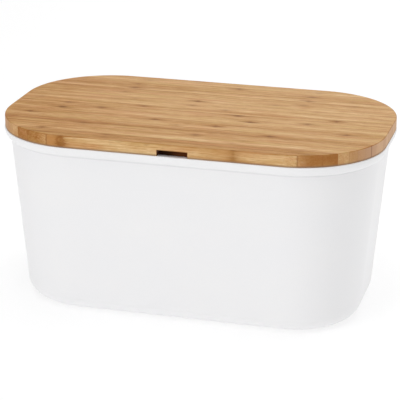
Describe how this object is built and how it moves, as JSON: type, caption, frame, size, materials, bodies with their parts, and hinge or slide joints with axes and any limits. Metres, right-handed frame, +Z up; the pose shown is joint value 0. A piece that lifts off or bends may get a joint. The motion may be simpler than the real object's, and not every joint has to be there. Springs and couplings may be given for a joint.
{
  "type": "bread bin",
  "caption": "Oblong bread bin: a tapered white tub with round corners and a thickened rim, and a lift-off bamboo lid board with a notch in its front edge.",
  "frame": {"origin": "middle of the base, on the surface the bin stands on", "axes": "+Z up, the front with the lid's notch faces -Y, +X along the length, to the right seen from the front"},
  "size_m": [0.346, 0.204, 0.17],
  "materials": {
    "tub_plastic": "satin white, moulded",
    "lid_bamboo": "oiled bamboo, edge-glued staves"
  },
  "bodies": {
    "tub": {"tub": "tub_plastic"},
    "lid": {"lid_stave_01": "lid_bamboo", "lid_stave_02": "lid_bamboo", "lid_stave_03": "lid_bamboo", "lid_stave_04": "lid_bamboo", "lid_stave_05": "lid_bamboo", "lid_stave_06": "lid_bamboo", "lid_stave_07": "lid_bamboo", "lid_stave_08": "lid_bamboo", "lid_stave_09": "lid_bamboo", "lid_stave_10": "lid_bamboo", "lid_stave_11": "lid_bamboo", "lid_stave_12": "lid_bamboo", "lid_stave_13": "lid_bamboo", "lid_stave_14": "lid_bamboo", "lid_stave_15": "lid_bamboo", "lid_stave_16": "lid_bamboo", "lid_stave_17": "lid_bamboo", "lid_stave_18": "lid_bamboo", "lid_stave_19": "lid_bamboo", "lid_stave_20": "lid_bamboo", "lid_stave_21": "lid_bamboo", "lid_stave_22": "lid_bamboo", "lid_stave_23": "lid_bamboo", "lid_stave_24": "lid_bamboo", "lid_stave_25": "lid_bamboo", "lid_stave_26": "lid_bamboo", "lid_stave_27": "lid_bamboo", "lid_stave_28": "lid_bamboo", "lid_stave_29": "lid_bamboo"}
  },
  "joints": [
    {"name": "lid_lift", "type": "slide", "parent": "tub", "child": "lid", "axis": [0, 0, 1], "range_m": [0, 0.1]}
  ]
}
